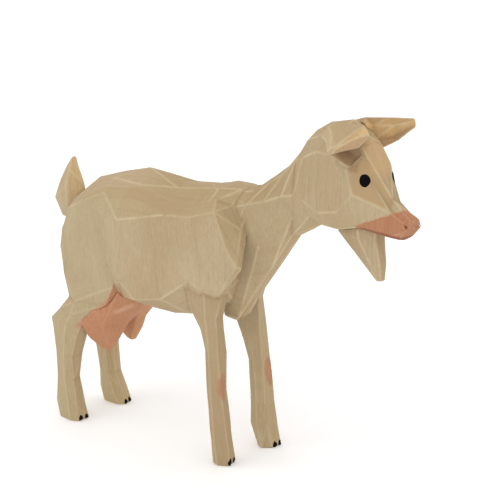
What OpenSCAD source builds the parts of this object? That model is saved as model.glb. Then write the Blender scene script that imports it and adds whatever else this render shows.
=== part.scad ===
// Standing goat figure, knife-carved in flat facets from a glued and pegged limewood blank.
// +X is the way the goat faces, +Z is up. The origin is on the ground under the middle of
// the figure's overall outline. Sizes are in millimetres.

/* [Overall] */
// Height from the ground to the top of the ears
figure_h = 97.7; // [70:0.1:140]
// Turn of the head towards the goat's right, in degrees
head_turn = 16; // [12:1:18]

/* [Glued-up blank] */
// Thickness of the centre board that carries back, breast and neck
core_t = 14; // [13.6:0.1:14.2]
// Glue line between haunch and flank, from the middle of the back
haunch_seam_x = -17; // [-18:0.5:-16]
// Glue line between flank and shoulder, from the middle of the back
shoulder_seam_x = 5; // [4.5:0.1:5.2]
// Glue line between neck and head, in front of the nape
head_seam_x = 2; // [1.8:0.1:2.6]

/* [Dowels and pegs] */
// Diameter of the cross dowels through shoulders, flanks and haunches
cross_dowel_d = 4; // [3:0.5:5]
// Diameter of the head dowel
head_dowel_d = 4; // [3:0.5:4.5]
// Diameter of the small pegs in ears, tail, beard and udder
peg_d = 1.6; // [1.2:0.2:1.8]
// Radial glue gap between a dowel and its hole
glue_gap = 0.05; // [0.02:0.01:0.1]

/* [Hidden] */
$fn = 48;
k = figure_h / 97.7;
half_core = core_t / 2;

wood = [0.76, 0.69, 0.53];
wood_warm = [0.78, 0.69, 0.51];
glaze = [0.77, 0.50, 0.38];
peg_wood = [0.72, 0.58, 0.40];

// Moves the carving datum under the middle of the back to the part origin
datum = [-11.7, 2.2, 0];

// ---------- helpers ----------

// The same points on the other side of the middle plane
function flip_y(pts) = [for (p = pts) [p[0], -p[1], p[2]]];

// Closed ring from two half rings that run from top middle to bottom middle
function two_sided(right_half, left_half) =
    concat(flip_y(right_half), [for (i = [len(left_half) - 2 : -1 : 1]) left_half[i]]);
function full_ring(h) = two_sided(h, h);

// The two triangles of a quad, split along its raised diagonal
function quad(P, a, b, c, d) =
    cross(P[b] - P[a], P[c] - P[a]) * (P[d] - P[a]) >= 0
    ? [[a, b, c], [a, c, d]] : [[a, b, d], [b, c, d]];

// Faceted skin over rings that all have the same number of points
module skin(rings) {
    n = len(rings[0]);
    m = len(rings);
    P = [for (r = rings) for (p = r) p];
    sides = [for (i = [0 : m - 2]) for (j = [0 : n - 1])
        each quad(P, i * n + j, (i + 1) * n + j, (i + 1) * n + (j + 1) % n, i * n + (j + 1) % n)];
    first = [for (j = [1 : n - 2]) [0, j, j + 1]];
    last = [for (j = [1 : n - 2]) [(m - 1) * n, (m - 1) * n + j + 1, (m - 1) * n + j]];
    polyhedron(P, concat(first, sides, last), convexity = 6);
}

// Part of the space between planes x0, x1 and y0, y1
module slab(x0, x1, y0, y1)
    translate([x0, y0, -5]) cube([x1 - x0, y1 - y0, 125]);

// Cylinder from a start point, tilted forwards from upright
module rod(start, tilt, len, d)
    translate(start) rotate([0, tilt, 0]) cylinder(d = d, h = len);

// From the carving datum to the finished size and origin
module figure() scale(k) translate(datum) children();
module right() children();
module left() mirror([0, 1, 0]) children();

// The head is carved in its own frame, turned to the goat's right
head_at = [36, 0, 78];
module head_frame() translate(head_at) rotate([0, 0, -head_turn]) children();
function turned(p) = [
    head_at[0] + p[0] * cos(head_turn) + p[1] * sin(head_turn),
    head_at[1] - p[0] * sin(head_turn) + p[1] * cos(head_turn),
    head_at[2] + p[2]];

// ---------- trunk, from rump to breast ----------
// Each half ring: spine, back edge, hip line, side ridge, side middle,
// lower side ridge, belly edge, belly middle
trunk_rings = [
    [[-39.8, 0, 62.5], [-39.7, 3, 61.8], [-39.6, 6, 59.8], [-41.2, 7, 54], [-42, 7, 48.5], [-40.5, 7.6, 41], [-38.5, 7.2, 36.5], [-36.5, 0, 39]],
    [[-33, 0, 68.3], [-32.8, 2.5, 67.4], [-32, 8.2, 63.8], [-31.2, 9.2, 58], [-31, 9.8, 50], [-31, 10, 43], [-31, 8.5, 38.5], [-31, 0, 39.5]],
    [[-24, 0, 71.4], [-24.7, 4, 70.3], [-24.3, 8.9, 67.3], [-16, 13.5, 62.6], [-16, 13.3, 54], [-16.2, 12.6, 45.2], [-19, 9, 40], [-20, 0, 39.5]],
    [[-15.7, 0, 73.7], [-13.5, 6.3, 70.7], [-11.2, 10.4, 68], [-7.7, 13.5, 64.7], [-9.5, 13.2, 53.5], [-11.4, 12.3, 41], [-9.5, 7, 38], [-10, 0, 37]],
    [[-4.5, 0, 71.6], [-3, 4, 71.2], [-1, 9, 69.1], [0.8, 13.9, 67], [-0.9, 13.4, 55.5], [-2.5, 12.7, 43.2], [-2, 7, 38], [-1, 0, 37.4]],
    [[5.4, 0, 72.9], [7, 3, 72.6], [7.5, 8.8, 70.1], [8, 13.8, 67.8], [7.5, 13.4, 58], [7, 12.9, 50.2], [4.2, 8.3, 39.6], [6, 0, 38.2]],
    [[10, 0, 73.7], [8.4, 3.5, 73], [10.5, 8.6, 70.9], [11.5, 13.2, 68.9], [12.2, 13.1, 58.5], [11.2, 12.8, 48.4], [10.2, 9.6, 44.6], [9.5, 0, 40]],
    [[15, 0, 74.5], [10.4, 4.2, 73.6], [12.2, 7.8, 71.5], [15, 12.4, 70], [18.7, 12.2, 60.7], [21.4, 11.5, 56.5], [15.9, 11.7, 47.8], [12.5, 0, 41.5]],
    [[18.5, 0, 74.6], [17, 3, 74], [16.4, 6.8, 70.6], [18.2, 7.2, 67.5], [20, 7.5, 65], [22.1, 10, 55.6], [17.4, 9.8, 49.2], [16.5, 0, 51]]
];

// ---------- neck, straight ahead of the trunk ----------
// Each half ring: top middle, upper edge, side ridge, side, breast ridge, breast middle
neck_rings = [
    [[12, 0, 73.5], [12, 3, 72.5], [13, 6, 69], [12, 6.4, 55], [11, 3, 39], [11, 0, 37.4]],
    [[21, 0, 75.2], [20.8, 3, 74.2], [20.5, 6.4, 71.4], [18.9, 5.6, 60], [15.3, 2.4, 38.8], [13, 0, 37.2]],
    [[25, 0, 78.2], [25.2, 3, 77], [25.8, 6.2, 73], [23.5, 5, 60.5], [19.8, 2.2, 46.2], [20.3, 0, 46.8]],
    [[29.5, 0, 81.8], [29.7, 3, 80.4], [31, 5.9, 75.3], [28.8, 4.6, 65.5], [25.8, 2.2, 54.7], [26.8, 0, 55.4]],
    [[33, 0, 86], [33.4, 3, 84.4], [34.5, 5.6, 76], [33.8, 4.7, 70.5], [32.3, 2.6, 64.7], [32.6, 0, 64]]
];

// ---------- head, in the head frame ----------
// Each half ring: top middle, upper edge, cheek top, cheek, jaw, throat middle
head_rings = [
    [[2.3, 0, 14.4], [2.2, 3, 12.2], [2.7, 5.3, 8], [2.8, 5.5, -2.6], [5, 4.7, -6.4], [5, 0, -9]],
    [[7.6, 0, 17.5], [7.8, 4.2, 14.6], [8.8, 5.8, 11], [9.5, 5.8, -4.2], [9.5, 4.3, -7.4], [9.5, 0, -9]],
    [[16, 0, 19.7], [15.8, 4, 17.6], [14.4, 5.9, 11.3], [17, 6, -2], [15.5, 4.4, -7], [14.5, 0, -8]],
    [[21.6, 0, 16.6], [22.3, 3, 14.6], [19.6, 5.5, 8.6], [22.4, 5.9, 3.4], [22.5, 4.4, -5], [22, 0, -5.4]]
];

// ---------- face, in the head frame: its bridge leans to the goat's right ----------
right_face_rings = [
    [[25.7, 0, 11.3], [24.7, 3, 12.1], [26.3, 3.1, 6.9], [26.8, 4, 2.2], [26.8, 3.7, -5.1], [27, 0, -5.4]],
    [[31.3, 0.9, 3.6], [31.4, 1.3, 2.1], [31.3, 1.5, 1.3], [31.9, 2, 0.6], [31.3, 2.9, -5.2], [31.3, 0, -5.5]],
    [[38.6, 0, 0.1], [38.4, 1.4, -0.1], [38.2, 2, -1.4], [37.2, 2.5, -2.8], [35.4, 2.1, -5], [35, 0, -5.6]]
];
left_face_rings = [
    [[25.7, 0, 11.3], [25.8, 3.1, 10.5], [25.9, 4, 6.9], [26.2, 4.1, 3.5], [26.8, 3.7, -5.1], [27, 0, -5.4]],
    [[31.3, 0.9, 3.6], [31.1, -0.1, 3], [30.8, 0.9, 2.5], [30.3, 2.5, 2.2], [31.3, 2.9, -5.2], [31.3, 0, -5.5]],
    [[38.6, 0, 0.1], [38.4, 1.4, -0.1], [38.2, 2, -1.4], [37.2, 2.5, -2.8], [35.4, 2.1, -5], [35, 0, -5.6]]
];

// Undercut below the ear, from the cheek surface inwards
undercut = [
    [[11.2, 7.8, 10.6], [20.7, 7.8, 6.2], [26.1, 7.8, 12.1], [24.3, 7.8, 16.8]],
    [[17.3, 3.2, 13], [20.5, 3.2, 11.6], [22.5, 3.2, 12.8], [22.2, 3.2, 14.6]]
];

// Knife notch for a nostril, from the side of the nose to its front
nostril = [
    [[36.3, 2, -0.9], [37.1, 3.1, -1.2], [37.6, 2.4, -0.6]],
    [[37, 0.4, -3], [37.8, 1.5, -3.3], [38.3, 0.8, -2.7]]
];

// ---------- ears, in the head frame, from the crown outwards ----------
// Each ring: top rear, top front, hollow, lower lip, lower rear, rear
left_ear_rings = [
    [[12, 2, 18.2], [17.5, 2, 19], [18, 2, 15.5], [21, 2, 13.4], [14, 2, 12], [9.3, 2, 15]],
    [[15, 4.2, 19.4], [17.8, 4.2, 17.8], [18.5, 4.2, 14.5], [22.3, 4.2, 13.3], [14.5, 4.2, 12.2], [10.3, 4.2, 15]],
    [[19.6, 8, 19.6], [21, 8, 17.8], [20.4, 8, 14.9], [22.3, 8, 14.2], [18, 8, 13.9], [15.8, 8, 16.5]],
    [[23.8, 12.2, 19.6], [24.3, 12.2, 19], [24.4, 12.2, 18.1], [24.3, 12.2, 17.5], [23.2, 12.2, 17.6], [22.9, 12.2, 18.7]]
];
right_ear_rings = [
    [[11, 1.6, 18.2], [21.8, 1.6, 19.5], [23.6, 1.6, 17.6], [21.8, 1.6, 15.2], [14, 1.6, 13], [9, 1.6, 15.4]],
    [[12.4, 5, 18], [22.6, 5, 19.1], [24.3, 5, 17.9], [23.2, 5, 14.9], [13.8, 5, 12.2], [9.6, 5, 14.8]],
    [[17.8, 8.5, 17.8], [23.2, 8.5, 17.9], [24.3, 8.5, 17.2], [22.9, 8.5, 14.8], [17.8, 8.5, 13.2], [15.6, 8.5, 15.8]],
    [[21.8, 12.2, 16], [23.2, 12.2, 16.3], [23.6, 12.2, 15.8], [22.4, 12.2, 14.4], [21.2, 12.2, 14], [20.6, 12.2, 14.8]]
];

// ---------- beard, in the head frame, from jaw to tip ----------
beard_rings = [
    [[8.6, 0, -4.5], [21.5, 3.6, -4.5], [25.8, 1.5, -4.5], [25.8, -1.5, -4.5], [21.5, -3.6, -4.5]],
    [[10.4, 0, -9.4], [22, 3.5, -8], [26.1, 1.5, -8], [26.1, -1.5, -8], [22, -3.5, -8]],
    [[17.4, 0, -13.7], [25, 2.2, -13.7], [27.4, 1.1, -13.7], [27.4, -1.1, -13.7], [25, -2.2, -13.7]],
    [[25.2, 0, -18], [26.3, 0.9, -18.1], [27.6, 0.6, -17.8], [27.6, -0.6, -17.8], [26.3, -0.9, -18.1]]
];

// ---------- tail, from tip to root ----------
tail_rings = [
    [[-42.9, 0, 72.3], [-42.4, 0.7, 72.4], [-41.9, 0, 72.2], [-42.4, -0.7, 72.4]],
    [[-45.4, 0, 69], [-43, 2.2, 69.2], [-40.9, 0, 69.4], [-42.6, -2.2, 69.2]],
    [[-48, 0, 64.5], [-43.6, 3.2, 64.5], [-38.8, 0, 65], [-42.9, -3.2, 64.5]],
    [[-50, 0, 59.5], [-44, 3.2, 59], [-37.5, 0, 60], [-42.6, -3.2, 58.8]],
    [[-47.4, 0, 54.8], [-44.5, 2, 55], [-38, 0, 55], [-42.6, -2.2, 55]]
];

// ---------- legs, from shoulder or haunch to the sole ----------
// Right-side rings: rear outer, rear inner, inner, front inner, front outer, outer
front_top = [
    [[8, -10, 52], [8, -7.4, 52], [12, -7.4, 52], [16, -7.6, 52], [15.5, -10, 52], [11, -10.8, 52]],
    [[5.2, -11.9, 47.6], [5.3, -7.1, 47.6], [12, -7.1, 47.6], [16, -7.4, 47.6], [15.8, -9.8, 47.6], [11.2, -11.8, 47.6]]
];
right_front_rings = concat(front_top, [
    [[6.8, -11.2, 41.4], [6.4, -7.1, 41], [12, -7.1, 41], [14.2, -7.3, 41], [14.4, -10.8, 41], [11.6, -11.8, 41]],
    [[9.4, -10.9, 37.1], [9.2, -7.1, 37.1], [12, -7.1, 37.1], [14.2, -7.1, 37.1], [14.6, -10.8, 37.1], [12, -11.7, 37.1]],
    [[10.2, -10.1, 31.4], [10, -6.8, 31.4], [12, -6, 31.4], [14.4, -6.4, 31.4], [14.8, -10.7, 31.4], [12.3, -11.4, 31.4]],
    [[10.3, -9.6, 20.3], [10.1, -6.2, 20.3], [12, -5.3, 20.3], [14, -5.9, 20.3], [15.4, -10, 20.3], [12.5, -11, 20.3]],
    [[10.9, -9.3, 9], [10.8, -6, 9], [12.5, -4.9, 9], [14.8, -5.1, 9], [16.6, -9.5, 9], [13, -10.7, 9]],
    [[11.4, -9.3, 6], [11.4, -6, 6], [13, -4.8, 6], [15.2, -4.9, 6], [17, -9.2, 6], [13.3, -10.5, 6]],
    [[12.2, -9.5, 0], [12.2, -5.8, 0], [13.8, -4.4, 0], [15.9, -4.4, 0], [16.9, -8.5, 0], [14, -10, 0]]
]);
left_front_rings = concat(front_top, [
    [[6.4, -11.4, 41.4], [5.6, -7.1, 40.5], [11, -7.1, 40.5], [14.4, -7.3, 40.5], [12.6, -11.8, 40.7], [10, -12.1, 41]],
    [[7.4, -11.2, 36.5], [6, -7.3, 36], [11, -7.1, 36], [14.8, -7.2, 36], [13.4, -11.8, 36], [11, -12.1, 36.5]],
    [[9.8, -11, 30], [9.2, -7, 30], [12, -6.6, 30], [15.3, -7.2, 30], [14.5, -11.6, 30], [12.3, -12, 30]],
    [[12, -10.4, 23.9], [11.6, -6.6, 23.9], [13.5, -6.4, 23.9], [15.8, -7.2, 23.9], [15.4, -11.3, 23.9], [13.5, -11.6, 23.9]],
    [[12.8, -10, 12.9], [12.5, -6.2, 12.9], [14.5, -6, 12.9], [16.8, -7, 12.9], [17, -11, 12.9], [14.8, -11.3, 12.9]],
    [[12.8, -9.8, 6.6], [12.5, -6.2, 6.6], [14.8, -6, 6.6], [17.6, -7, 6.6], [18.2, -11, 6.6], [15.6, -11.4, 6.6]],
    [[15, -9.8, 0], [14.9, -6.5, 0], [16.5, -6, 0], [18.9, -7.7, 0], [19.5, -11, 0], [17, -11.3, 0]]
]);
hind_top = [
    [[-39, -7.6, 49], [-39, -7.2, 49], [-28, -7.2, 49], [-18.5, -7.4, 49], [-18.2, -12.2, 48], [-31, -9.7, 49]],
    [[-40.2, -7.8, 41], [-37.5, -7.1, 41], [-27, -7.1, 41], [-18.8, -8.2, 41], [-18.9, -12.2, 43], [-32, -10.1, 42]],
    [[-38.4, -8.2, 35.5], [-37.4, -7.1, 35.5], [-28, -7.1, 35.5], [-22, -7.6, 35.5], [-22.5, -11.2, 37], [-34, -10.9, 35.5]]
];
right_hind_rings = concat(hind_top, [
    [[-41.4, -8.8, 31.6], [-40.5, -6.9, 31.6], [-32, -6.8, 31.6], [-28, -7.8, 31.6], [-30, -10.9, 31.6], [-35.2, -11.3, 31.6]],
    [[-44.4, -9, 28.5], [-43.4, -6.8, 28.5], [-35, -6.4, 28.5], [-31, -7.6, 28.5], [-32.3, -10.7, 28.5], [-37, -11.4, 28.5]],
    [[-43.7, -9, 25], [-42.8, -6.6, 25], [-36, -6.1, 25], [-32.8, -7.3, 25], [-34, -10.6, 25], [-37.7, -11.3, 25]],
    [[-42.9, -9, 19], [-42, -6.4, 19], [-37.5, -5.7, 19], [-35, -6.8, 19], [-36, -10.3, 19], [-38.3, -11.1, 19]],
    [[-42.8, -9, 12], [-42, -6.2, 12], [-38.5, -5.2, 12], [-36.8, -6.2, 12], [-36, -9.8, 12], [-38.5, -11, 12]],
    [[-43.3, -9.2, 4.4], [-42.5, -6.4, 4.4], [-38.4, -5.2, 4.4], [-35.3, -6, 4.4], [-34.9, -9.8, 4.4], [-37.3, -11, 4.4]],
    [[-41.3, -10, 0], [-40.6, -7, 0], [-37, -5.5, 0], [-34.2, -5.8, 0], [-34.6, -10.2, 0], [-37, -10.9, 0]]
]);
left_hind_rings = concat(hind_top, [
    [[-41.4, -9.2, 31.6], [-41, -6.9, 31.6], [-32, -6.8, 31.6], [-28, -7.8, 31.6], [-30, -10.9, 31.6], [-35.2, -11.3, 31.6]],
    [[-44.4, -9, 28.5], [-44, -6.4, 28.5], [-36, -6, 28.5], [-31.5, -7.6, 28.5], [-32.3, -10.7, 28.5], [-37, -11.4, 28.5]],
    [[-43.6, -9, 23], [-43.3, -6.3, 23], [-38.2, -5.5, 23], [-35, -7, 23], [-35.5, -10.4, 23], [-39, -11.2, 23]],
    [[-42.4, -9, 17], [-41.9, -6.2, 17], [-37.8, -5.4, 17], [-36.6, -7.4, 17], [-36.8, -10.4, 17], [-39, -11, 17]],
    [[-41.3, -9, 9], [-40.6, -6.1, 9], [-37, -5.4, 9], [-35.8, -7.4, 9], [-36.3, -10.4, 9], [-38.8, -11, 9]],
    [[-41.2, -9.2, 4.6], [-40.5, -6, 4.6], [-35.7, -5.5, 4.6], [-33.6, -7.2, 4.6], [-34.3, -10.4, 4.6], [-37.6, -11.2, 4.6]],
    [[-39.6, -9.4, 0], [-39, -5.9, 0], [-33.7, -5.8, 0], [-32.2, -7.2, 0], [-32.6, -10.6, 0], [-36, -11.2, 0]]
]);

// ---------- udder, right half from belly to teat tip ----------
// Each ring: rear outer, rear inner, front inner, front, front outer
udder_rings = [
    [[-30, -8.5, 43], [-30, 0.3, 43], [-13.5, 0.3, 43], [-13.5, -6, 43], [-18, -9.6, 43]],
    [[-31, -9.4, 38], [-31, 0.3, 38], [-15.6, 0.3, 38], [-15.8, -5.5, 38], [-20.5, -10.4, 38]],
    [[-27.5, -11.6, 33.8], [-32, 0.3, 33], [-19.5, 0.3, 33], [-19, -4.4, 33], [-22.2, -10.8, 34]],
    [[-31.4, -11.5, 30.2], [-31.5, -1.6, 29.6], [-22.6, -1.6, 29.6], [-21.6, -4, 29.6], [-25.2, -9.8, 30]],
    [[-31.2, -8.4, 25], [-30.8, -3, 25], [-25, -2.8, 25], [-23.8, -4.5, 25], [-25.5, -7.6, 25]],
    [[-28.8, -5.9, 21.6], [-28.4, -4.4, 21.6], [-26.8, -4.2, 21.4], [-26, -4.8, 21.6], [-26.6, -5.9, 21.5]]
];

// ---------- whole shapes before they are sawn into pieces ----------
module trunk() skin([for (h = trunk_rings) full_ring(h)]);
module neck_and_head() skin(concat(
    [for (h = neck_rings) full_ring(h)],
    [for (h = head_rings) [for (p = full_ring(h)) turned(p)]],
    [for (i = [0 : len(right_face_rings) - 1])
        [for (p = two_sided(right_face_rings[i], left_face_rings[i])) turned(p)]]));
module in_front_of_seam() head_frame() translate([head_seam_x, -30, -60]) cube([60, 60, 120]);
module undercuts() head_frame() {
    skin(undercut);
    mirror([0, 1, 0]) skin(undercut);
    skin(nostril);
    mirror([0, 1, 0]) skin(nostril);
}

// ---------- dowels and pegs ----------
module cross_rod(x, z, half, e = 0, g = 0)
    translate([x, -half - e, z]) rotate([-90, 0, 0]) cylinder(d = cross_dowel_d + 2 * g, h = 2 * (half + e));
module shoulder_rods(e = 0, g = 0) cross_rod(12, 60, 10, e, g);
module flank_rods(e = 0, g = 0) { cross_rod(-11, 56, 11, e, g); cross_rod(0, 50, 11, e, g); }
module haunch_rods(e = 0, g = 0) cross_rod(-28, 53, 8.8, e, g);
module head_rods(e = 0, g = 0)
    head_frame() rod([2 - (9 + e) * cos(30), 0, 1 - (9 + e) * sin(30)], 60, 18 + 2 * e, head_dowel_d + 2 * g);
module ear_rods(e = 0, g = 0)
    head_frame() for (s = [-1, 1])
        translate([16.4, s * 1.4, 16]) rotate([-s * 90, 0, 0]) cylinder(d = peg_d + 2 * g, h = 5.2 + e);
module beard_rods(e = 0, g = 0)
    head_frame() translate([20, 0, -11.6 - e]) rotate([0, 0, 45]) cylinder(d = peg_d + 2 * g, h = 10 + 2 * e);
module tail_rods(e = 0, g = 0)
    translate([-46 - e, 0, 59.5]) rotate([0, 90, 0]) cylinder(d = peg_d + 2 * g, h = 11 + 2 * e);
module udder_rods(e = 0, g = 0)
    for (s = [-1, 1]) translate([-25, s * 4.2, 32 - e]) cylinder(d = peg_d + 2 * g, h = 14 + 2 * e);

// ---------- sub-parts ----------
module body_core() color(wood) figure() difference() {
    union() {
        intersection() { trunk(); slab(-60, 60, -half_core, half_core); }
        difference() { neck_and_head(); in_front_of_seam(); }
    }
    shoulder_rods(0.5, glue_gap);
    flank_rods(0.5, glue_gap);
    haunch_rods(0.5, glue_gap);
    head_rods(0.5, glue_gap);
    tail_rods(0.5, glue_gap);
    udder_rods(0.5, glue_gap);
}
module flank() difference() {
    intersection() { trunk(); slab(haunch_seam_x, shoulder_seam_x, -30, -half_core); }
    flank_rods(0.5, glue_gap);
}
module right_flank() color(wood) figure() flank();
module left_flank() color(wood) figure() left() flank();

module front_quarter(rings) difference() {
    union() {
        intersection() { trunk(); slab(shoulder_seam_x, 60, -30, -half_core); }
        skin(rings);
    }
    shoulder_rods(0.5, glue_gap);
}
module right_front_leg() color(wood) figure() front_quarter(right_front_rings);
module left_front_leg() color(wood) figure() left() front_quarter(left_front_rings);

module hind_quarter(rings) difference() {
    union() {
        intersection() { trunk(); slab(-60, haunch_seam_x, -30, -half_core); }
        skin(rings);
    }
    haunch_rods(0.5, glue_gap);
}
module right_hind_leg() color(wood) figure() hind_quarter(right_hind_rings);
module left_hind_leg() color(wood) figure() left() hind_quarter(left_hind_rings);

module bare_head() difference() {
    intersection() { neck_and_head(); in_front_of_seam(); }
    undercuts();
}
module head() color(wood_warm) figure() difference() {
    bare_head();
    head_rods(0.5, glue_gap);
    ear_rods(0.5, glue_gap);
    beard_rods(0.5, glue_gap);
}
module left_ear() color(wood_warm) figure() difference() {
    head_frame() skin(left_ear_rings);
    bare_head();
    ear_rods(0.5, glue_gap);
}
module right_ear() color(wood_warm) figure() difference() {
    head_frame() mirror([0, 1, 0]) skin(right_ear_rings);
    bare_head();
    ear_rods(0.5, glue_gap);
}
module beard() color(wood) figure() difference() {
    head_frame() skin(beard_rings);
    bare_head();
    beard_rods(0.5, glue_gap);
}
module tail() color(wood_warm) figure() difference() {
    skin(tail_rings);
    trunk();
    tail_rods(0.5, glue_gap);
}
module udder() color(glaze) figure() difference() {
    union() {
        skin(udder_rings);
        mirror([0, 1, 0]) skin(udder_rings);
    }
    trunk();
    skin(right_hind_rings);
    mirror([0, 1, 0]) skin(left_hind_rings);
    udder_rods(0.5, glue_gap);
}
module shoulder_dowel() color(peg_wood) figure() shoulder_rods();
module flank_dowels() color(peg_wood) figure() flank_rods();
module haunch_dowel() color(peg_wood) figure() haunch_rods();
module head_dowel() color(peg_wood) figure() head_rods();
module ear_pegs() color(peg_wood) figure() ear_rods();
module beard_peg() color(peg_wood) figure() beard_rods();
module tail_peg() color(peg_wood) figure() tail_rods();
module udder_pegs() color(peg_wood) figure() udder_rods();

body_core();
right_flank();
left_flank();
right_front_leg();
left_front_leg();
right_hind_leg();
left_hind_leg();
head();
right_ear();
left_ear();
beard();
tail();
udder();
shoulder_dowel();
flank_dowels();
haunch_dowel();
head_dowel();
ear_pegs();
beard_peg();
tail_peg();
udder_pegs();
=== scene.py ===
import math

import bmesh
import bpy
import numpy as np
from mathutils import Matrix, Vector, noise
from mathutils.bvhtree import BVHTree


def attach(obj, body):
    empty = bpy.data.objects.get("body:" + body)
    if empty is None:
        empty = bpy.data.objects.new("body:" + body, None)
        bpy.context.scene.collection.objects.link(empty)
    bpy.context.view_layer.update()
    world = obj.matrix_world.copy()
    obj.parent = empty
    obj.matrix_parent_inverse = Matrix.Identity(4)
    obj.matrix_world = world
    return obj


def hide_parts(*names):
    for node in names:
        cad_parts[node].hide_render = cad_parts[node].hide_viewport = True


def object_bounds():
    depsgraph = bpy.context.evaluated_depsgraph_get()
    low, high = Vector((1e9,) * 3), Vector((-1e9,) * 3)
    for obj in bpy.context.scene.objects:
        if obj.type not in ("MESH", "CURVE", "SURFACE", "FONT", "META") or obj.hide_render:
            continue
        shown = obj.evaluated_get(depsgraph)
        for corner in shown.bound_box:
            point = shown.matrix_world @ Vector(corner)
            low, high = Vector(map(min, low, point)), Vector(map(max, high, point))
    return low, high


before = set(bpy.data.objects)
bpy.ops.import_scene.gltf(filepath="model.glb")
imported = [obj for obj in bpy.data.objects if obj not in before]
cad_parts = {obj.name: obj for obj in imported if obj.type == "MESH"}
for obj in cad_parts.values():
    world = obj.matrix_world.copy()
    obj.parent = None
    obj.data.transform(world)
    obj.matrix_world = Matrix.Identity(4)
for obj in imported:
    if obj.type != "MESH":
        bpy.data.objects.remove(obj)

MM = 0.001
cad_lo, cad_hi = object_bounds()          # the CAD model's box
K = (cad_hi.z - cad_lo.z) / (97.7 * MM)  # size of this copy against the standard figure

# ------------------------------------------------------------------ places, in mm of the standard figure
SEAM_Y = (-4.8, 9.2)                  # centre board to side boards
SEAM_X = (-28.7, -6.7)                # haunch to flank, flank to shoulder
HEAD_AT = Vector((24.3, 2.2, 78.0))
TURN = math.radians(16)
HX = Vector((math.cos(TURN), -math.sin(TURN), 0))   # the head's own forward
HY = Vector((math.sin(TURN), math.cos(TURN), 0))    # the head's own left
HEAD_SEAM = 2.0


def head_point(x, y, z):
    """A point of the head's own frame, in metres of the row frame."""
    return (HEAD_AT + HX * x + HY * y + Vector((0, 0, z))) * MM * K


# ------------------------------------------------------------------ carved solids
def on_seam(a, b, c=None):
    """True if these points, in mm, all lie in one glue plane."""
    pts = (a, b) if c is None else (a, b, c)
    for y in SEAM_Y:
        if all(abs(p.y - y) < 0.012 for p in pts):
            return True
    for x in SEAM_X:
        if all(abs(p.x - x) < 0.012 for p in pts):
            return True
    return all(abs((p - HEAD_AT).dot(HX) - HEAD_SEAM) < 0.012 for p in pts)


def rods():
    """Axis start, axis unit vector, length and radius of every dowel and peg, in mm."""
    out = []
    for name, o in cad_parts.items():
        if not (name.endswith("dowel") or name.endswith("dowels") or name.endswith("peg") or name.endswith("pegs")):
            continue
        bm = bmesh.new()
        bm.from_mesh(o.data)
        bmesh.ops.remove_doubles(bm, verts=bm.verts, dist=2e-6)
        seen = set()
        for v in bm.verts:
            if v in seen:
                continue
            group, todo = [], [v]
            seen.add(v)
            while todo:
                w = todo.pop()
                group.append(w)
                for e in w.link_edges:
                    u = e.other_vert(w)
                    if u not in seen:
                        seen.add(u)
                        todo.append(u)
            co = np.array([w.co[:] for w in group]) / (MM * K)
            mid = co.mean(0)
            ring = len(co) // 2
            # the long edges run along the axis
            long_edge = max((e for w in group[:4] for e in w.link_edges), key=lambda e: e.calc_length())
            axis = np.array((long_edge.verts[1].co - long_edge.verts[0].co).normalized()[:])
            t = (co - mid) @ axis
            r = np.linalg.norm((co - mid) - np.outer(t, axis), axis=1)
            out.append((mid, axis, t.max(), float(r.max())))
        bm.free()
    return out


RODS = rods()


def in_hole(p):
    """True if a point, in mm, is on the wall or floor of a dowel hole."""
    q = np.array(p[:])
    for mid, axis, half, r in RODS:
        t = (q - mid) @ axis
        if abs(t) < half + 0.75:
            d = float(np.linalg.norm((q - mid) - t * axis))
            if d < r + 0.12:
                return True
    return False


def warp(p):
    """The slow unevenness of a hand-held knife, the same field for every piece, so glued faces stay together. In mm."""
    q = p * 0.075
    d = noise.noise_vector(q + Vector((3.1, 7.7, 1.3))) * 0.16 + noise.noise_vector(p * 0.22 + Vector((11.0, 2.0, 5.0))) * 0.045
    d.z *= min(1.0, max(0.0, (p.z - 0.3) / 4.0))
    return p + d


def segment_distance(P, A, B):
    """Distance from each point of P to the nearest of the segments A-B, with its index."""
    best = np.full(len(P), 1e9)
    which = np.zeros(len(P), int)
    for i in range(len(A)):
        ab = B[i] - A[i]
        t = np.clip(((P - A[i]) @ ab) / max(ab @ ab, 1e-12), 0, 1)
        d = np.linalg.norm(P - A[i] - t[:, None] * ab, axis=1)
        m = d < best
        best[m] = d[m]
        which[m] = i
    return best, which


# chains that get a painted highlight along them; the mesh is also refined there
CRESTS = {"head": [                   # low-angled crests of the face that still catch the light, head frame, mm
    [(19.6, -5.5, 8.6), (22.4, -5.9, 3.4), (26.8, -4, 2.2), (31.9, -2, 0.6)],
    [(19.6, 5.5, 8.6), (22.4, 5.9, 3.4), (26.2, 4.1, 3.5), (30.3, 2.5, 2.2)],
]}
HAUNCH = [[(-36.0, -6.7, 67.3), (-27.7, -11.3, 62.6)],     # body crests, row frame, mm
          [(-36.0, 11.1, 67.3), (-27.7, 15.7, 62.6)]]
CRESTS["right_hind_leg"] = CRESTS["right_flank"] = HAUNCH[:1]
CRESTS["left_hind_leg"] = CRESTS["left_flank"] = HAUNCH[1:]
CRESTS["body_core"] = [[(-36.4, -1.8, 70.3), (-25.2, -4.1, 70.7), (-14.7, -1.8, 71.2), (-4.7, -0.8, 72.6)],
                       [(-36.4, 6.2, 70.3), (-25.2, 8.5, 70.7), (-14.7, 6.2, 71.2), (-4.7, 5.2, 72.6)]]
QUIET = {"head": [                    # knife turns inside the jaw plane, left without the painted highlight
    [(22.4, -5.9, 3.4), (26.8, -3.7, -5.1)], [(26.8, -4, 2.2), (31.3, -2.9, -5.2)],
    [(26.8, -4, 2.2), (26.8, -3.7, -5.1)], [(22.4, 5.9, 3.4), (26.8, 3.7, -5.1)],
]}
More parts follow.
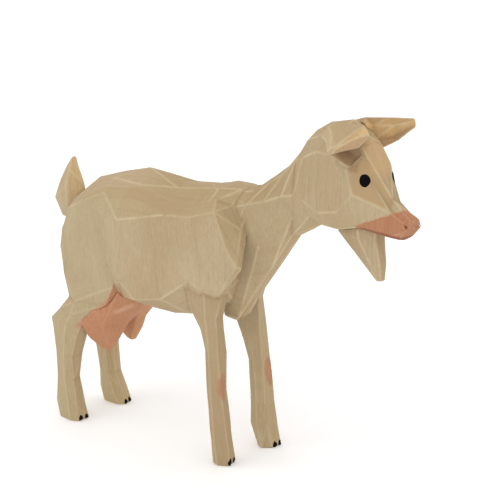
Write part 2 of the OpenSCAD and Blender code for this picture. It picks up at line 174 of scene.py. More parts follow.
HIP = [[(-43.7, -6.0, 63.8), (-27.7, -11.3, 62.6)], [(-36.0, -6.7, 67.3), (-22.9, -8.2, 68.0), (-10.9, -11.7, 67.0)],
       [(-43.7, 10.4, 63.8), (-27.7, 15.7, 62.6)], [(-36.0, 11.1, 67.3), (-22.9, 12.6, 68.0), (-10.9, 16.1, 67.0)]]
QUIET["right_hind_leg"] = QUIET["right_flank"] = HIP[:2]
QUIET["left_hind_leg"] = QUIET["left_flank"] = HIP[2:]


def lines(node, chain):
    """A chain of points as an array, in mm of the standard figure; the head's are given in its own frame."""
    if node != "head":
        return np.array(chain, float)
    return np.array([(HEAD_AT + HX * x + HY * y + Vector((0, 0, z)))[:] for x, y, z in chain])


def carve(node, far=1.9, near=0.42, reach=0.85, soften=0.5):
    """A fine mesh of a CAD node: knife edges eased, faces slightly uneven, glue lines left tight."""
    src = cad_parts[node].data
    bm = bmesh.new()
    bm.from_mesh(src)
    bmesh.ops.remove_doubles(bm, verts=bm.verts, dist=2e-6)
    for v in bm.verts:
        v.co = v.co / (MM * K)
    bmesh.ops.dissolve_limit(bm, angle_limit=math.radians(0.5), use_dissolve_boundaries=False,
                             verts=bm.verts[:], edges=bm.edges[:])
    bm.normal_update()
    hole = {v: in_hole(v.co) for v in bm.verts}
    facet = bm.faces.layers.int.new("facet")
    region = bm.faces.layers.int.new("region")
    carved_edges, convex, angle = [], [], []
    kind = {}
    for e in bm.edges:
        a, b = (v.co for v in e.verts)
        ang = e.calc_face_angle(0.0)
        if hole[e.verts[0]] and hole[e.verts[1]]:
            kind[e] = "hole"
        elif on_seam(a, b):
            kind[e] = "seam"
        elif ang > math.radians(9.0):
            kind[e] = "carved"
            if e.calc_length() > 0.05:
                carved_edges.append((a.copy(), b.copy()))
                convex.append(e.is_convex)
                angle.append(ang)
        else:
            kind[e] = "flat"
    for layer, stops in ((facet, ("carved", "seam", "hole")), (region, ("seam", "hole"))):
        n = 0
        seen = set()
        for f in bm.faces:
            if f in seen:
                continue
            n += 1
            todo = [f]
            seen.add(f)
            while todo:
                g = todo.pop()
                g[layer] = n
                for e in g.edges:
                    if kind[e] in stops:
                        continue
                    for h in e.link_faces:
                        if h not in seen:
                            seen.add(h)
                            todo.append(h)
    A = np.array([e[0][:] for e in carved_edges])
    B = np.array([e[1][:] for e in carved_edges])
    cv = np.array(convex)
    an = np.array(angle)
    bmesh.ops.triangulate(bm, faces=bm.faces[:])
    seam_faces = bm.faces.layers.int.new("glued")
    for f in bm.faces:
        c = [v.co for v in f.verts]
        f[seam_faces] = 1 if on_seam(c[0], c[1], c[2]) or all(hole.get(v, False) for v in f.verts) else 0
    crests = [lines(node, chain) for chain in CRESTS.get(node, [])]
    fine_a = np.concatenate([A] + [c[:-1] for c in crests])
    fine_b = np.concatenate([B] + [c[1:] for c in crests])
    for _ in range(8):
        edges = [e for e in bm.edges if any(f[seam_faces] == 0 for f in e.link_faces)]
        mid = np.array([((e.verts[0].co + e.verts[1].co) / 2)[:] for e in edges])
        ln = np.array([e.calc_length() for e in edges])
        d, _w = segment_distance(mid, fine_a, fine_b)
        want = np.where(d < reach, near, near + (d - reach) * 0.9).clip(near, far)
        cut = [e for e, l, w in zip(edges, ln, want) if l > w * 1.35]
        if not cut:
            break
        bmesh.ops.subdivide_edges(bm, edges=cut, cuts=1, use_grid_fill=False)
        bmesh.ops.triangulate(bm, faces=[f for f in bm.faces if len(f.verts) > 3])
    bm.verts.ensure_lookup_table()
    bm.verts.index_update()
    P = np.array([v.co[:] for v in bm.verts])
    d, which = segment_distance(P, A, B)
    dv, wv = segment_distance(P, A[cv], B[cv])
    av = an[cv]
    # painted shade weight, high next to concave knife edges
    if (~cv).any():
        dc, wc = segment_distance(P, A[~cv], B[~cv])
        ac = an[~cv]
        crevice_shade = (1 - np.clip(dc / 1.3, 0, 1)) ** 2 * np.clip((ac[wc] - 0.16) / 0.5, 0, 1)
    else:
        crevice_shade = np.zeros(len(P))
    # painted highlight weight, high next to convex knife edges
    edge = (1 - np.clip(dv / 0.42, 0, 1)) * np.clip((av[wv] - 0.19) / 0.16, 0.0, 1)
    # the painted highlight is left off along the quiet lines
    for chain in QUIET.get(node, []):
        line = lines(node, chain)
        dk, _k = segment_distance(P, line[:-1], line[1:])
        edge = edge * np.clip(dk / 0.5 - 0.2, 0, 1)
    # crest lines get the painted highlight too
    for line in crests:
        dk, _k = segment_distance(P, line[:-1], line[1:])
        edge = np.maximum(edge, 0.8 * (1 - np.clip(dk / 0.5, 0, 1)))
    fixed = np.array([on_seam(v.co, v.co) or in_hole(v.co) for v in bm.verts])
    # ease the knife edges
    nb = [[e.other_vert(v).index for e in v.link_edges] for v in bm.verts]
    move = np.nonzero((d < soften) & ~fixed)[0]
    for _ in range(3):
        Q = P.copy()
        for i in move:
            w = 0.5 * (1 - d[i] / soften * 0.6)
            Q[i] = P[i] * (1 - w) + P[nb[i]].mean(0) * w
        P = Q
    for v, q in zip(bm.verts, P):
        v.co = warp(Vector(q))
    lo, hi = cad_lo / (MM * K), cad_hi / (MM * K)
    for v in bm.verts:
        v.co = Vector((min(max(v.co.x, lo.x), hi.x), min(max(v.co.y, lo.y), hi.y), min(max(v.co.z, lo.z), hi.z)))
    bm.normal_update()
    # normals: flat facets stay flat right up to the eased edge, and never blend over a glue line
    on_edge = d < 0.02
    sums_f, sums_r = {}, {}
    for f in bm.faces:
        n = f.normal * f.calc_area()
        for v in f.verts:
            k1 = (v.index, f[facet])
            k2 = (v.index, f[region])
            sums_f[k1] = sums_f.get(k1, Vector()) + n
            sums_r[k2] = sums_r.get(k2, Vector()) + n
    normals = []
    for f in bm.faces:
        for l in f.loops:
            i = l.vert.index
            n = sums_r[(i, f[region])] if on_edge[i] else sums_f[(i, f[facet])]
            normals.append(n.normalized() if n.length > 1e-12 else f.normal.copy())
    for v in bm.verts:
        v.co = v.co * MM * K
    me = bpy.data.meshes.new(node + "_carved")
    bm.to_mesh(me)
    bm.free()
    # vertex weights for the painted edge highlight and the painted crevice shade
    me.attributes.new("edge", "FLOAT", "POINT").data.foreach_set("value", edge.astype(np.float32))
    me.attributes.new("crevice_shade", "FLOAT", "POINT").data.foreach_set("value", crevice_shade.astype(np.float32))
    for name in ("facet", "region", "glued"):
        if name in me.attributes:
            me.attributes.remove(me.attributes[name])
    me.shade_smooth()
    me.normals_split_custom_set(normals)
    ob = bpy.data.objects.new(node + "_carved", me)
    bpy.context.scene.collection.objects.link(ob)
    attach(ob, "root")
    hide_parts(node)
    return ob


# ------------------------------------------------------------------ materials
class Nodes:
    """A small helper to write a material's node tree as expressions."""

    def __init__(self, name):
        self.m = bpy.data.materials.new(name)
        self.m.use_nodes = True
        self.t = self.m.node_tree
        for n in list(self.t.nodes):
            self.t.nodes.remove(n)
        self.out = self.t.nodes.new("ShaderNodeOutputMaterial")
        self.bsdf = self.t.nodes.new("ShaderNodeBsdfPrincipled")
        self.t.links.new(self.bsdf.outputs[0], self.out.inputs[0])

    def put(self, socket, v):
        if isinstance(v, bpy.types.NodeSocket):
            self.t.links.new(v, socket)
        elif isinstance(v, (tuple, list)) and len(v) == 3 and socket.type == "RGBA":
            socket.default_value = (*v, 1)
        else:
            socket.default_value = v

    def node(self, kind, *args, **props):
        n = self.t.nodes.new(kind)
        for k, v in props.items():
            setattr(n, k, v)
        for i, v in enumerate(args):
            if v is not None:
                self.put(n.inputs[i], v)
        return n

    def math(self, op, a, b=0.0, c=0.0, clamp=False):
        n = self.node("ShaderNodeMath", a, b, c, operation=op)
        n.use_clamp = clamp
        return n.outputs[0]

    def add(self, a, b): return self.math("ADD", a, b)
    def sub(self, a, b): return self.math("SUBTRACT", a, b)
    def mul(self, a, b): return self.math("MULTIPLY", a, b)
    def lo(self, a, b): return self.math("MINIMUM", a, b)
    def hi(self, a, b): return self.math("MAXIMUM", a, b)

    def step(self, x, a, b, y0=0.0, y1=1.0):
        """Smooth step of x from a to b, to the range y0-y1."""
        n = self.node("ShaderNodeMapRange", x, a, b, y0, y1, interpolation_type="SMOOTHSTEP")
        return n.outputs[0]

    def mix(self, f, a, b, blend="MIX"):
        n = self.t.nodes.new("ShaderNodeMix")
        n.data_type = "RGBA"
        n.blend_type = blend
        n.clamp_factor = True
        self.put(n.inputs[0], f)
        self.put(n.inputs[6], a)
        self.put(n.inputs[7], b)
        return n.outputs[2]

    def noise(self, v, scale=1.0, detail=2.0, rough=0.5, dist=0.0, color=False):
        n = self.t.nodes.new("ShaderNodeTexNoise")
        n.noise_dimensions = "3D"
        self.put(n.inputs["Vector"], v)
        n.inputs["Scale"].default_value = scale
        n.inputs["Detail"].default_value = detail
        n.inputs["Roughness"].default_value = rough
        n.inputs["Distortion"].default_value = dist
        return n.outputs["Color" if color else "Fac"]

    def vec(self, op, a, b=None, scale=None):
        n = self.t.nodes.new("ShaderNodeVectorMath")
        n.operation = op
        self.put(n.inputs[0], a)
        if b is not None:
            self.put(n.inputs[1], b)
        if scale is not None:
            self.put(n.inputs[3], scale)
        return n.outputs["Value"] if op in ("DOT_PRODUCT", "LENGTH", "DISTANCE") else n.outputs[0]

    def xyz(self, v):
        n = self.node("ShaderNodeSeparateXYZ", v)
        return n.outputs[0], n.outputs[1], n.outputs[2]

    def join(self, x, y, z):
        return self.node("ShaderNodeCombineXYZ", x, y, z).outputs[0]

    def attr(self, name):
        return self.node("ShaderNodeAttribute", attribute_name=name).outputs["Fac"]


def lin(r, g, b):
    """An sRGB colour, 0-255, as linear."""
    def f(c):
        c /= 255
        return c / 12.92 if c <= 0.04045 else ((c + 0.055) / 1.055) ** 2.4
    return (f(r), f(g), f(b))


LIGHT = lin(179, 161, 129)
DEEP = lin(170, 150, 117)
WARM = lin(171, 145, 107)
HONEY = lin(216, 180, 124)
HONEY_FACE = lin(172, 143, 104)
STREAK = ((-33.5, -7.2, 34.7), (-29.0, -3.0, 37.2))
RING = lin(148, 122, 86)
CREAM = lin(206, 191, 156)
MUZZLE_TINT = (lin(174, 122, 90), lin(163, 107, 75))
UDDER_TINT = (lin(183, 132, 98), lin(172, 117, 84))


def wood(name, glaze=None, tint=MUZZLE_TINT, tone=(1, 1, 1), honey=0.0, rings=1.0, ridge_highlight=0.56, extra=None, last=None, shift=(0, 0, 0)):
    """Hand-cut limewood in object coordinates: grain up Z, growth rings edge-on to the side faces."""
    s = Nodes(name)
    co = s.node("ShaderNodeTexCoord").outputs["Object"]
    p = s.vec("SCALE", co, scale=1 / (MM * K))
    q = s.vec("ADD", p, shift)
    x, y, z = s.xyz(q)
    # growth rings: long radius, pith far to the goat's left
    wob = s.noise(s.vec("MULTIPLY", q, (0.035, 0.035, 0.012)), 1.0, 2.0)
    wob2 = s.noise(s.vec("MULTIPLY", q, (0.16, 0.16, 0.03)), 1.0, 1.0)
    cx = s.add(x, 20.0)
    cy = s.sub(y, 95.0)
    r = s.math("SQRT", s.add(s.mul(cx, cx), s.mul(cy, cy)))
    r = s.add(r, s.mul(wob, 9.0))
    r = s.add(r, s.mul(wob2, 1.3))
    phase = s.math("FRACT", s.mul(r, 1 / 1.75))
    late = s.step(phase, 0.62, 0.97)
    late = s.mul(late, s.step(phase, 1.0, 0.975))
    # fibres and the short dashes of the rays
    fib = s.noise(s.vec("MULTIPLY", q, (2.6, 2.6, 0.16)), 1.0, 4.0, 0.6)
    fine = s.noise(s.vec("MULTIPLY", q, (5.5, 5.5, 0.5)), 1.0, 3.0, 0.6)
    dash = s.noise(s.vec("MULTIPLY", q, (4.2, 4.2, 0.62)), 1.0, 1.0, 0.5)
    dash = s.step(dash, 0.6, 0.74)
    cloud = s.noise(s.vec("MULTIPLY", q, (0.05, 0.05, 0.03)), 1.0, 2.0)
    cloud2 = s.noise(s.vec("MULTIPLY", q, (0.22, 0.22, 0.06)), 1.0, 2.0)
    col = s.mix(s.step(cloud, 0.35, 0.65), LIGHT, DEEP)
    col = s.mix(s.mul(s.step(cloud2, 0.45, 0.75), 0.35), col, WARM)
    # painted shade: faces that look forwards, and faces that look up, are mixed towards a darker warm tan
    g = s.node("ShaderNodeNewGeometry")
    nx, ny, nz = s.xyz(g.outputs["True Normal"])
    fwd = s.step(nx, 0.15, 0.9)
    top = s.step(nz, 0.3, 0.8)
    col = s.mix(s.hi(s.mul(fwd, 0.6), s.mul(top, 0.75)), col, WARM)
    # painted light: with honey set, forward faces are mixed towards a lighter honey tan
    if honey:
        col = s.mix(s.mul(fwd, honey), col, HONEY)
    col = s.mix(1.0, col, tone, "MULTIPLY")
    ring_amount = s.add(0.12, s.add(s.mul(fwd, 0.12), s.mul(top, 0.02)))
    col = s.mix(s.mul(s.mul(late, ring_amount), rings), col, RING)
    col = s.mix(s.mul(s.step(fib, 0.42, 0.72), 0.26), col, RING)
    col = s.mix(s.mul(s.step(fine, 0.56, 0.3), 0.22), col, CREAM)
    col = s.mix(s.mul(dash, 0.2), col, RING)
    if extra is not None:
        col = extra(s, p, (nx, ny, nz), col)
    # painted highlight: convex knife edges are mixed towards cream, broken up by noise; painted shade: concave corners
    # are darkened
    highlight_breakup = s.noise(s.vec("MULTIPLY", q, (0.3, 0.3, 0.22)), 1.0, 3.0)
    edge = s.mul(s.attr("edge"), s.step(highlight_breakup, 0.3, 0.56, 0.4, 1.0))
    col = s.mix(s.mul(edge, ridge_highlight), col, CREAM)
    col = s.mix(s.mul(s.attr("crevice_shade"), 0.4), col, lin(134, 104, 70))
    rough = s.add(0.62, s.mul(fine, 0.2))
    if glaze is not None:
        m = glaze(s, p, (nx, ny, nz))
        stain = s.mix(s.step(fib, 0.35, 0.7), tint[0], tint[1])
        stain = s.mix(s.mul(s.step(cloud2, 0.35, 0.7), 0.4), stain, tint[1])
        stain = s.mix(s.mul(dash, 0.22), stain, lin(160, 94, 66))
        # painted highlight on the stain along convex edges, painted shade in its concave corners
        stain = s.mix(s.mul(edge, 0.3), stain, lin(206, 150, 122))
        stain = s.mix(s.mul(s.attr("crevice_shade"), 0.15), stain, lin(150, 84, 58))
        col = s.mix(m, col, stain)
        rough = s.sub(rough, s.mul(m, 0.06))
    if last is not None:
        col = last(s, p, (nx, ny, nz), col)
    s.put(s.bsdf.inputs["Base Color"], col)
    s.put(s.bsdf.inputs["Roughness"], rough)
    s.bsdf.inputs["Specular IOR Level"].default_value = 0.28
    h = s.add(s.mul(fib, 0.7), s.add(s.mul(fine, 0.45), s.mul(late, 0.18)))
    h = s.sub(h, s.mul(dash, 0.3))
    scoop = s.noise(s.vec("MULTIPLY", q, (0.35, 0.35, 0.14)), 1.0, 2.0)
    b = s.node("ShaderNodeBump")
    b.inputs["Strength"].default_value = 0.55
    b.inputs["Distance"].default_value = 0.00006
    s.put(b.inputs["Height"], s.add(h, s.mul(scoop, 3.0)))
    s.put(s.bsdf.inputs["Normal"], b.outputs[0])
    return s.m


def ragged(s, p, scale=0.55, amount=1.0):
    """A hand-brushed edge: an offset in mm."""
    n = s.noise(s.vec("MULTIPLY", p, (scale, scale, scale * 0.7)), 1.0, 3.0, 0.6)
    return s.mul(s.sub(n, 0.5), amount)


def muzzle_glaze(s, p, n):
    q = s.vec("SUBTRACT", p, HEAD_AT[:])
    hx = s.vec("DOT_PRODUCT", q, HX[:])
    hz = s.xyz(q)[2]
    d = s.sub(s.sub(s.mul(s.sub(hx, 23.0), 0.48), 4.0), hz)
    d = s.add(d, ragged(s, p, 0.7, 1.1))
    back = s.sub(hx, 22.2)
    return s.mul(s.mul(s.step(d, -0.15, 0.3), s.step(back, -0.2, 0.3)), 0.93)


def knee_glaze(cx, cy, cz, ry, rz):
    def f(s, p, n):
        q = s.vec("MULTIPLY", s.vec("SUBTRACT", p, (cx, cy, cz)), (1 / 3.2, 1 / ry, 1 / rz))
        d = s.add(s.vec("LENGTH", q), ragged(s, p, 0.9, 0.55))
        return s.mul(s.mul(s.step(d, 1.08, 0.84), s.step(n[0], 0.1, 0.45)), 0.78)
    return f


def thigh_glaze(s, p, n):
    x, y, z = s.xyz(p)
    d = s.sub(s.add(39.7, s.mul(s.add(x, 32.5), 0.86)), z)
    d = s.add(d, ragged(s, p, 0.45, 2.4))
    side = s.mul(s.step(d, -0.9, 1.0), s.step(z, 27.0, 29.5))
    front = s.mul(s.mul(s.step(n[0], 0.35, 0.6), s.step(z, 45.5, 44.0)), s.mul(s.step(z, 31.0, 33.0), s.step(x, -36.0, -34.0)))
    return s.mul(s.hi(side, front), 0.92)


def all_glaze(s, p, n):
    z = s.xyz(p)[2]
    v = s.noise(s.vec("MULTIPLY", p, (0.3, 0.3, 0.12)), 1.0, 3.0)
    return s.step(v, 0.15, 0.5, 0.84, 0.97)


def beech(name):
    """Machined peg wood with short brown flecks along Z."""
    s = Nodes(name)
    co = s.node("ShaderNodeTexCoord").outputs["Object"]
    p = s.vec("SCALE", co, scale=1 / (MM * K))
    a = s.noise(s.vec("MULTIPLY", p, (1.2, 0.3, 1.2)), 1.0, 3.0)
    f = s.step(s.noise(s.vec("MULTIPLY", p, (4.0, 0.9, 4.0)), 1.0, 1.0), 0.6, 0.7)
    col = s.mix(a, lin(206, 166, 120), lin(188, 142, 98))
    col = s.mix(s.mul(f, 0.6), col, lin(140, 92, 56))
    s.put(s.bsdf.inputs["Base Color"], col)
    s.put(s.bsdf.inputs["Roughness"], s.add(0.5, s.mul(a, 0.2)))
    b = s.node("ShaderNodeBump")
    b.inputs["Distance"].default_value = 0.00005
    s.put(b.inputs["Height"], a)
    s.put(s.bsdf.inputs["Normal"], b.outputs[0])
    return s.m


def black_paint(name):
    """Brushed black lacquer, a little uneven in gloss."""
    s = Nodes(name)
    co = s.node("ShaderNodeTexCoord").outputs["Object"]
    p = s.vec("SCALE", co, scale=1 / (MM * K))
    n = s.noise(s.vec("MULTIPLY", p, (1.8, 1.8, 0.8)), 1.0, 3.0)
    s.put(s.bsdf.inputs["Base Color"], s.mix(n, (0.002, 0.002, 0.003), (0.006, 0.005, 0.006)))
    s.put(s.bsdf.inputs["Roughness"], s.add(0.5, s.mul(n, 0.25)))
    s.bsdf.inputs["Specular IOR Level"].default_value = 0.03
    b = s.node("ShaderNodeBump")
    b.inputs["Distance"].default_value = 0.00003
    s.put(b.inputs["Height"], n)
    s.put(s.bsdf.inputs["Normal"], b.outputs[0])
    return s.m


def painted_face_shade(s, p, n, col):
    """Painted shade and light on the head: the scoop below each ear is darkened under the ear, the eye planes above the
    cheek crest get a darker warm tan, and the forward-facing brow a lighter warm tan.
    """
    q = s.vec("SUBTRACT", p, HEAD_AT[:])
    hx = s.vec("DOT_PRODUCT", q, HX[:])
    hy = s.math("ABSOLUTE", s.vec("DOT_PRODUCT", q, HY[:]))
    hz = s.xyz(q)[2]
    m = s.mul(s.step(hy, 5.5, 4.9), s.mul(s.step(hx, 14.0, 16.0), s.step(hx, 23.0, 22.0)))
    m = s.mul(m, s.mul(s.step(hz, 8.0, 9.0), s.step(hz, 15.6, 14.8)))
    facing = s.join(*n)
    above = s.sub(hz, s.sub(3.4, s.mul(s.sub(hx, 22.4), 0.29)))      # over the crest from cheek to muzzle
    eye_r = s.vec("DOT_PRODUCT", facing, tuple(HX * 0.473 - HY * 0.865 + Vector((0, 0, 0.168))))
    eye_l = s.vec("DOT_PRODUCT", facing, tuple(HX * 0.72 + HY * 0.67 + Vector((0, 0, 0.187))))
    # painted shade: the eye planes above the cheek crest are darkened to a warm tan
    face = s.mul(s.step(s.hi(eye_r, eye_l), 0.955, 0.985), s.mul(s.step(hx, 20.0, 22.0), s.step(above, -0.1, 0.25)))
    col = s.mix(s.mul(face, 0.8), col, HONEY_FACE)
    # painted light: forward-facing brow faces are lightened to a warm tan
    brow = s.mul(s.step(s.vec("DOT_PRODUCT", facing, HX[:]), 0.35, 0.6), s.mul(s.step(hz, 7.0, 10.5), s.step(hx, 21.0, 22.5)))
    col = s.mix(s.mul(brow, 0.6), col, lin(196, 161, 115))
    # painted shade: the scoop under each ear is darkened
    return s.mix(s.mul(m, 0.55), col, lin(144, 112, 80))


def muzzle_edge_shadow(s, p, n, col):
    """Painted shadow: a ragged dark line along the bottom edge of the muzzle."""
    q = s.vec("SUBTRACT", p, HEAD_AT[:])
    hx = s.vec("DOT_PRODUCT", q, HX[:])
    hz = s.add(s.xyz(q)[2], ragged(s, p, 1.3, 0.5))
    m = s.mul(s.step(hz, -4.2, -4.6), s.mul(s.step(hx, 23.0, 24.0), s.step(hx, 36.5, 35.5)))
    return s.mix(s.mul(m, 0.7), col, lin(120, 70, 46))


def udder_light_and_wear(s, p, n, col):
    """Painted light on the udder's forward faces; the far teat is paler, and the tint is rubbed thin along one streak.
    """
    col = s.mix(s.step(s.xyz(p)[1], -1.0, 2.0), col, (1.13, 1.18, 1.12), "MULTIPLY")
    # painted light: forward-facing faces are lightened
    col = s.mix(s.mul(s.step(n[0], 0.15, 0.7), 0.1), col, lin(204, 152, 116))
    a, b = Vector(STREAK[0]), Vector(STREAK[1])
    u = (b - a).normalized()
    q = s.vec("SUBTRACT", p, a[:])
    t = s.vec("DOT_PRODUCT", q, u[:])
    d = s.vec("LENGTH", s.vec("SUBTRACT", q, s.vec("MULTIPLY", s.join(t, t, t), u[:])))
    d = s.add(d, ragged(s, p, 0.9, 1.2))
    m = s.mul(s.step(d, 1.5, 0.5), s.mul(s.step(t, -0.5, 1.5), s.step(t, (b - a).length + 0.5, (b - a).length - 2.0)))
    return s.mix(s.mul(m, 0.55), col, lin(212, 172, 142))


def ear_lip(s, p, n, col):
    """Painted shade on the folded edge of the ear: faces that look forward, down and to the right turn greyish pink."""
    f = s.vec("DOT_PRODUCT", s.join(*n), tuple(HX * 0.7 - HY * 0.35 - Vector((0, 0, 0.55))))
    return s.mix(s.mul(s.step(f, 0.1, 0.65), 0.72), col, lin(170, 140, 114))


def leg_shade(s, p, n, col):
    """Painted shade: the near front leg is darker below the shoulder."""
    z = s.xyz(p)[2]
    return s.mix(s.mul(s.step(z, 50.0, 46.0), 0.55), col, lin(158, 132, 98))


def tint(s, m, col, tone):
    return s.mix(m, col, tone, "MULTIPLY")


def core_tones(s, p, n, col):
    """Painted light and shade on up-facing faces: the rump's top is paler and pinker, the top of the neck browner."""
    x = s.xyz(p)[0]
    col = tint(s, s.mul(s.step(x, -20.0, -30.0), s.step(n[2], 0.3, 0.7)), col, (1.07, 1.09, 1.2))
    return tint(s, s.mul(s.step(x, 5.0, 11.0), s.step(n[2], 0.15, 0.5)), col, (0.93, 0.9, 0.86))


def far_shank(s, p, n, col):
    """The far hind leg is paler below the hock."""
    return tint(s, s.step(s.xyz(p)[2], 42.0, 34.0), col, (1.08, 1.1, 1.1))


def far_ear_tones(s, p, n, col):
    """Painted shading on the far ear: up-facing faces browner and darker, down-facing faces under the lower fold paler.
    """
    col = tint(s, s.step(n[2], 0.0, 0.5), col, (0.92, 0.86, 0.8))
    return tint(s, s.step(n[2], -0.05, -0.4), col, (1.06, 1.11, 1.16))


WOOD = wood("limewood", extra=core_tones)
WOOD_FLANK = wood("limewood_flank", tone=(0.985, 0.965, 0.95))
WOOD_HEAD = wood("limewood_muzzle", glaze=muzzle_glaze, extra=painted_face_shade, last=muzzle_edge_shadow, tone=(0.985, 0.975, 0.965))
WOOD_EAR = wood("limewood_ear", honey=0.85, extra=ear_lip, tone=(1.04, 1.03, 1.0))
WOOD_EAR_L = wood("limewood_far_ear", honey=0.9, ridge_highlight=0.45, extra=far_ear_tones, tone=(0.985, 0.915, 0.84))
WOOD_TAIL = wood("limewood_tail", honey=0.6)
WOOD_BEARD = wood("limewood_beard", tone=(0.96, 0.94, 0.93))
WOOD_RF = wood("limewood_right_knee", glaze=knee_glaze(4.4, -6.5, 22.2, 2.3, 4.1), extra=leg_shade, ridge_highlight=0.34)
WOOD_LF = wood("limewood_left_knee", glaze=knee_glaze(4.4, 12.0, 20.8, 1.9, 4.1), ridge_highlight=0.34)
WOOD_THIGH = wood("limewood_thigh", glaze=thigh_glaze, tint=UDDER_TINT, tone=(1.01, 1.035, 1.035), ridge_highlight=0.34)
WOOD_THIGH_L = wood("limewood_far_thigh", glaze=thigh_glaze, tint=UDDER_TINT, tone=(1.05, 1.06, 1.05), ridge_highlight=0.34, extra=far_shank)
UDDER = wood("tinted_limewood", glaze=all_glaze, tint=UDDER_TINT, last=udder_light_and_wear)
BEECH = beech("beech")
BLACK = black_paint("black_paint")

FINISH = {
    "body_core": WOOD, "right_flank": WOOD_FLANK, "left_flank": WOOD_FLANK,
    "right_front_leg": WOOD_RF, "left_front_leg": WOOD_LF,
    "right_hind_leg": WOOD_THIGH, "left_hind_leg": WOOD_THIGH_L,
    "head": WOOD_HEAD, "right_ear": WOOD_EAR, "left_ear": WOOD_EAR_L,
    "beard": WOOD_BEARD, "tail": WOOD_TAIL, "udder": UDDER,
}
carved = {}
for name, material in FINISH.items():
    ob = carve(name)
    ob.data.materials.clear()
    ob.data.materials.append(material)
    carved[name] = ob
for name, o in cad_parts.items():
    if name not in FINISH:
        o.data.materials.clear()
        o.data.materials.append(BEECH)


# ------------------------------------------------------------------ painted eyes and claws
def tree_of(ob):
    me = ob.data
    return BVHTree.FromPolygons([v.co[:] for v in me.vertices], [p.vertices[:] for p in me.polygons])


def paint_patch(name, on, centre, look, up, outline, thick, rings=5):
    """A blob of thick paint laid on a carved face. centre is just above the face, look points into it,
    outline gives (across, up) in mm all the way round."""
    tree = tree_of(on)
    look = look.normalized()
    side = up.cross(-look).normalized()
    over = (-look).cross(side).normalized()
    bm = bmesh.new()
    n = len(outline)
    loops = []
    for k in range(rings + 1):
        f = 1 - k / rings
        row = []
        for a, b in (outline if k < rings else outline[:1]):
            a2, b2 = (a * f, b * f) if k < rings else (0.0, 0.0)
            start = centre + (side * a2 + over * b2) * MM * K - look * 2 * MM * K
            hit = tree.ray_cast(start, look)
            if hit[0] is None or (hit[0] - centre).length > 4 * MM * K:
                near = tree.find_nearest(centre + (side * a2 + over * b2) * MM * K)
                loc, nor = near[0], near[1]
            else:
                loc, nor = hit[0], hit[1]
            if nor.dot(look) > 0:
                nor = -nor
            lift = thick * math.sqrt(max(0.0, 1 - f ** 2.6)) if k else -0.06
            at = loc + nor * lift * MM * K
            at.z = max(at.z, 0.06 * MM * K)       # paint stops at the sole
            row.append(bm.verts.new(at))
        loops.append(row)
    under = [bm.verts.new(v.co + Vector((look.x, look.y, max(look.z, 0.0))) * 0.12 * MM * K) for v in loops[0]]
    for k in range(rings - 1):
        for i in range(n):
            j = (i + 1) % n
            bm.faces.new((loops[k][i], loops[k][j], loops[k + 1][j], loops[k + 1][i]))
    tip = loops[rings][0]
    for i in range(n):
        bm.faces.new((loops[rings - 1][i], loops[rings - 1][(i + 1) % n], tip))
        bm.faces.new((loops[0][(i + 1) % n], loops[0][i], under[i], under[(i + 1) % n]))
    bm.faces.new(list(reversed(under)))
    bmesh.ops.recalc_face_normals(bm, faces=bm.faces[:])
    me = bpy.data.meshes.new(name)
    bm.to_mesh(me)
    bm.free()
    me.shade_smooth()
    me.materials.append(BLACK)
    ob = bpy.data.objects.new(name, me)
    bpy.context.scene.collection.objects.link(ob)
    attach(ob, "root")
    return ob


def blob(rx, rz, lean=0.0, wobble=0.05, point=0.0, n=40, seed=0.0):
    """An almost round brush mark; point draws its top out."""
    out = []
    for i in range(n):
        t = 2 * math.pi * i / n
        r = 1 + wobble * math.sin(3 * t + seed) + wobble * 0.6 * math.sin(5 * t + 2.1 * seed + 1)
        a, b = rx * r * math.cos(t), rz * r * math.sin(t)
        if point and b > 0:
            a *= 1 - point * (b / rz) ** 1.5
        out.append((a + lean * b, b))
    return out


UP = Vector((0, 0, 1))
paint_patch("right_eye", carved["head"], head_point(24.75, -4.1, 7.15), HY * 0.865 + HX * -0.473 + UP * -0.168, UP,
            blob(1.58, 1.66, wobble=0.02, seed=0.4), 0.14)
paint_patch("left_eye", carved["head"], head_point(27.0, 2.7, 7.2), HY * -0.67 + HX * -0.72 + UP * -0.187, UP,
            blob(1.5, 1.62, wobble=0.02, seed=1.9), 0.14)


def claw(name, leg, x, y, z, toward, rx, rz, seed):
    c = Vector((x, y, z)) * MM * K
    paint_patch(name, carved[leg], c, -Vector(toward), UP, blob(rx, rz, wobble=0.06, point=0.55, seed=seed), 0.1, rings=4)


claw("right_hind_claw_outer", "right_hind_leg", -46.4, -6.7, 0.65, (1, -0.1, 0.1), 0.85, 1.15, 0.3)
claw("right_hind_claw_inner", "right_hind_leg", -46.2, -4.6, 0.55, (1, 0.1, 0.1), 0.78, 1.05, 1.2)
claw("left_hind_claw_inner", "left_hind_leg", -44.3, 10.0, 0.60, (1, 0.05, 0.2), 0.78, 1.0, 2.0)
claw("left_hind_claw_outer", "left_hind_leg", -44.3, 11.8, 0.60, (1, 0.1, 0.2), 0.82, 1.05, 0.9)
claw("right_front_claw_outer", "right_front_leg", 4.9, -5.9, 1.10, (1, 0.1, 0.05), 0.88, 1.3, 1.6)
claw("right_front_claw_inner", "right_front_leg", 4.4, -3.6, 0.70, (1, 0.2, 0.1), 0.8, 1.1, 0.1)
claw("left_front_claw_inner", "left_front_leg", 7.3, 10.9, 0.70, (1, -0.1, 0.15), 0.92, 1.15, 2.6)
claw("left_front_claw_outer", "left_front_leg", 7.5, 12.8, 0.70, (1, 0.0, 0.15), 0.85, 1.1, 0.7)

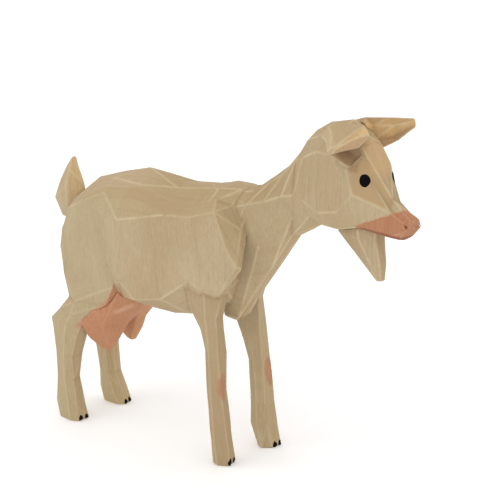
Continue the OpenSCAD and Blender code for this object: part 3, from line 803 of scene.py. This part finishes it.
# ------------------------------------------------------------------ floor, light and camera
bm = bmesh.new()
bmesh.ops.create_grid(bm, x_segments=8, y_segments=8, size=6.0)
me = bpy.data.meshes.new("floor")
bm.to_mesh(me)
bm.free()
floor = bpy.data.objects.new("floor", me)
floor.location.z = -0.00002
bpy.context.scene.collection.objects.link(floor)
fm = Nodes("pale_floor")
fm.bsdf.inputs["Base Color"].default_value = (0.97, 0.97, 0.97, 1)
fm.bsdf.inputs["Emission Color"].default_value = (1, 1, 1, 1)
fm.bsdf.inputs["Emission Strength"].default_value = 0.07
fm.bsdf.inputs["Roughness"].default_value = 0.9
fm.bsdf.inputs["Specular IOR Level"].default_value = 0.1
me.materials.append(fm.m)

world = bpy.data.worlds.new("studio")
world.use_nodes = True
world.node_tree.nodes["Background"].inputs[0].default_value = (1.0, 1.0, 1.0, 1)
world.node_tree.nodes["Background"].inputs[1].default_value = 1.02
bpy.context.scene.world = world


def area(name, loc, aim, size, watts, colour=(1, 1, 1)):
    d = bpy.data.lights.new(name, "AREA")
    d.shape = "DISK"
    d.size = size
    d.energy = watts
    d.color = colour
    o = bpy.data.objects.new(name, d)
    o.location = loc
    o.rotation_mode = "QUATERNION"
    o.rotation_quaternion = (Vector(aim) - Vector(loc)).to_track_quat("-Z", "Y")
    bpy.context.scene.collection.objects.link(o)
    return o


area("key", (-0.45, -0.75, 0.85), (0, 0, 0.04), 1.2, 2.3, (1.0, 0.99, 0.97))
area("fill", (0.9, -0.3, 0.5), (0, 0, 0.05), 0.8, 0.5)

cam_data = bpy.data.cameras.new("camera")
cam_data.sensor_width = 36
cam_data.lens = 138.5
cam_data.clip_start = 0.01
cam_data.clip_end = 50
cam = bpy.data.objects.new("camera", cam_data)
cam.location = Vector((285.9, -370.1, 208.7)) * MM * K
cam.rotation_mode = "QUATERNION"
cam.rotation_quaternion = (Vector((-11.7, 24.9, 48.0)) * MM * K - cam.location).to_track_quat("-Z", "Y")
bpy.context.scene.collection.objects.link(cam)
bpy.context.scene.camera = cam
bpy.context.scene.view_settings.view_transform = "Standard"
bpy.context.scene.view_settings.look = "None"
